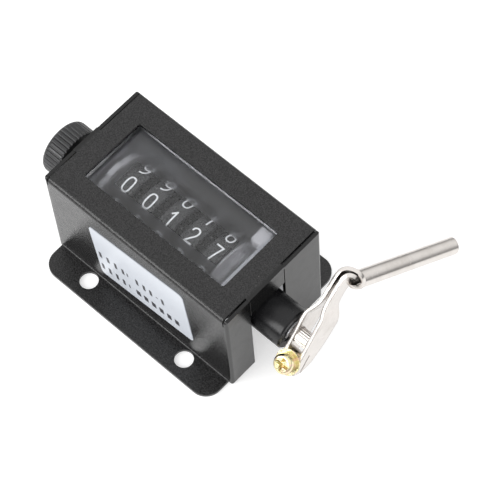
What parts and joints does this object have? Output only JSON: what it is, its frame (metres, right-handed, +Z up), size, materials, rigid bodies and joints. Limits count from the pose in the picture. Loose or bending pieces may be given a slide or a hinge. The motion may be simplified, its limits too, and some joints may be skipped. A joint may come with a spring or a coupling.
{
  "type": "hand tally counter",
  "caption": "Lever-operated tally counter: black sheet-metal case with base flanges, windowed number wheels, reset knob and sprung nickel-plated pull lever.",
  "frame": {"origin": "centre of the four base holes, on the underside of the base flanges", "axes": "+X runs from the reset knob to the lever, -Y is the labelled front wall, +Z is up, out of the window"},
  "size_m": [0.1032, 0.0717, 0.0403],
  "materials": {
    "case_enamel": "crinkle black enamel",
    "window": "frosted with a polished strip",
    "label": "satin film",
    "frame_steel": "zinc plated",
    "fastener_steel": "plated",
    "black_plastic": "satin",
    "knob_plastic": "satin",
    "bush_brass": "turned",
    "shaft_steel": "ground",
    "spring_wire": "drawn wire",
    "lever_nickel": "bright nickel",
    "yellow_zinc": "yellow passivated zinc",
    "pawl_steel": "hardened",
    "wheel_plastic": "moulded",
    "pinion_plastic": "moulded"
  },
  "bodies": {
    "housing": {"housing_shell": "case_enamel", "window_lens": "window", "label_plate": "label", "side_plate_left": "frame_steel", "side_plate_right": "frame_steel", "tie_bars": "frame_steel", "tie_bar_screws": "fastener_steel", "frame_screws": "fastener_steel", "bearing_sleeve": "black_plastic", "sleeve_screws": "fastener_steel", "shaft_bush": "bush_brass", "pinion_axle": "shaft_steel", "stop_pins": "shaft_steel", "hold_pawl_pin": "shaft_steel", "hold_pawl_spring": "spring_wire", "return_spring": "spring_wire", "guide_block": "pinion_plastic"},
    "lever": {"drive_shaft": "lever_nickel", "pawl_carrier": "frame_steel", "shaft_clip": "spring_wire", "lever_arm": "lever_nickel", "handle_tube": "lever_nickel", "flat_washer": "yellow_zinc", "spring_washer": "yellow_zinc", "clamp_screw": "yellow_zinc", "drive_pawl_pin": "shaft_steel", "drive_pawl_spring": "spring_wire"},
    "drive_pawl": {"drive_pawl": "pawl_steel"},
    "hold_pawl": {"hold_pawl": "pawl_steel"},
    "reset": {"reset_knob": "knob_plastic", "wheel_shaft": "shaft_steel", "reset_disc": "pinion_plastic"},
    "wheel_ten_thousands": {"number_wheel_ten_thousands": "wheel_plastic"},
    "wheel_thousands": {"number_wheel_thousands": "wheel_plastic"},
    "wheel_hundreds": {"number_wheel_hundreds": "wheel_plastic"},
    "wheel_tens": {"number_wheel_tens": "wheel_plastic"},
    "wheel_units": {"number_wheel_units": "wheel_plastic", "ratchet_wheel": "pinion_plastic"},
    "pinion_ten_thousands": {"transfer_pinion_ten_thousands": "pinion_plastic"},
    "pinion_thousands": {"transfer_pinion_thousands": "pinion_plastic"},
    "pinion_hundreds": {"transfer_pinion_hundreds": "pinion_plastic"},
    "pinion_tens": {"transfer_pinion_tens": "pinion_plastic"}
  },
  "joints": [
    {"name": "lever_pull", "type": "hinge", "parent": "housing", "child": "lever", "pos_m": [0, -0.0023, 0.0213], "axis": [1, 0, 0], "range_deg": [0, 45], "stiffness_Nm_per_rad": 0.02, "springref_deg": -20.05},
    {"name": "drive_pawl_lift", "type": "hinge", "parent": "lever", "child": "drive_pawl", "pos_m": [0, -0.01358, 0.0254], "axis": [1, 0, 0], "range_deg": [0, 12], "stiffness_Nm_per_rad": 0.0005, "springref_deg": -14.32},
    {"name": "hold_pawl_lift", "type": "hinge", "parent": "housing", "child": "hold_pawl", "pos_m": [0, 0.0037, 0.01091], "axis": [1, 0, 0], "range_deg": [0, 12], "stiffness_Nm_per_rad": 0.0005, "springref_deg": -14.32},
    {"name": "reset_turn", "type": "hinge", "parent": "housing", "child": "reset", "pos_m": [0, -0.0023, 0.0213], "axis": [1, 0, 0], "continuous": true},
    {"name": "units_wheel_turn", "type": "hinge", "parent": "housing", "child": "wheel_units", "pos_m": [0, -0.0023, 0.0213], "axis": [1, 0, 0], "continuous": true},
    {"name": "tens_wheel_turn", "type": "hinge", "parent": "housing", "child": "wheel_tens", "pos_m": [0, -0.0023, 0.0213], "axis": [1, 0, 0], "continuous": true},
    {"name": "hundreds_wheel_turn", "type": "hinge", "parent": "housing", "child": "wheel_hundreds", "pos_m": [0, -0.0023, 0.0213], "axis": [1, 0, 0], "continuous": true},
    {"name": "thousands_wheel_turn", "type": "hinge", "parent": "housing", "child": "wheel_thousands", "pos_m": [0, -0.0023, 0.0213], "axis": [1, 0, 0], "continuous": true},
    {"name": "ten_thousands_wheel_turn", "type": "hinge", "parent": "housing", "child": "wheel_ten_thousands", "pos_m": [0, -0.0023, 0.0213], "axis": [1, 0, 0], "continuous": true},
    {"name": "tens_pinion_turn", "type": "hinge", "parent": "housing", "child": "pinion_tens", "pos_m": [0, 0.00898, 0.01479], "axis": [1, 0, 0], "continuous": true},
    {"name": "hundreds_pinion_turn", "type": "hinge", "parent": "housing", "child": "pinion_hundreds", "pos_m": [0, 0.00898, 0.01479], "axis": [1, 0, 0], "continuous": true},
    {"name": "thousands_pinion_turn", "type": "hinge", "parent": "housing", "child": "pinion_thousands", "pos_m": [0, 0.00898, 0.01479], "axis": [1, 0, 0], "continuous": true},
    {"name": "ten_thousands_pinion_turn", "type": "hinge", "parent": "housing", "child": "pinion_ten_thousands", "pos_m": [0, 0.00898, 0.01479], "axis": [1, 0, 0], "continuous": true}
  ],
  "couplings": [
    {"joint": "tens_wheel_turn", "follows": "units_wheel_turn", "ratio": 0.1},
    {"joint": "tens_pinion_turn", "follows": "units_wheel_turn", "ratio": -0.25},
    {"joint": "hundreds_wheel_turn", "follows": "units_wheel_turn", "ratio": 0.01},
    {"joint": "hundreds_pinion_turn", "follows": "units_wheel_turn", "ratio": -0.025},
    {"joint": "thousands_wheel_turn", "follows": "units_wheel_turn", "ratio": 0.001},
    {"joint": "thousands_pinion_turn", "follows": "units_wheel_turn", "ratio": -0.0025},
    {"joint": "ten_thousands_wheel_turn", "follows": "units_wheel_turn", "ratio": 0.0001},
    {"joint": "ten_thousands_pinion_turn", "follows": "units_wheel_turn", "ratio": -0.00025}
  ]
}
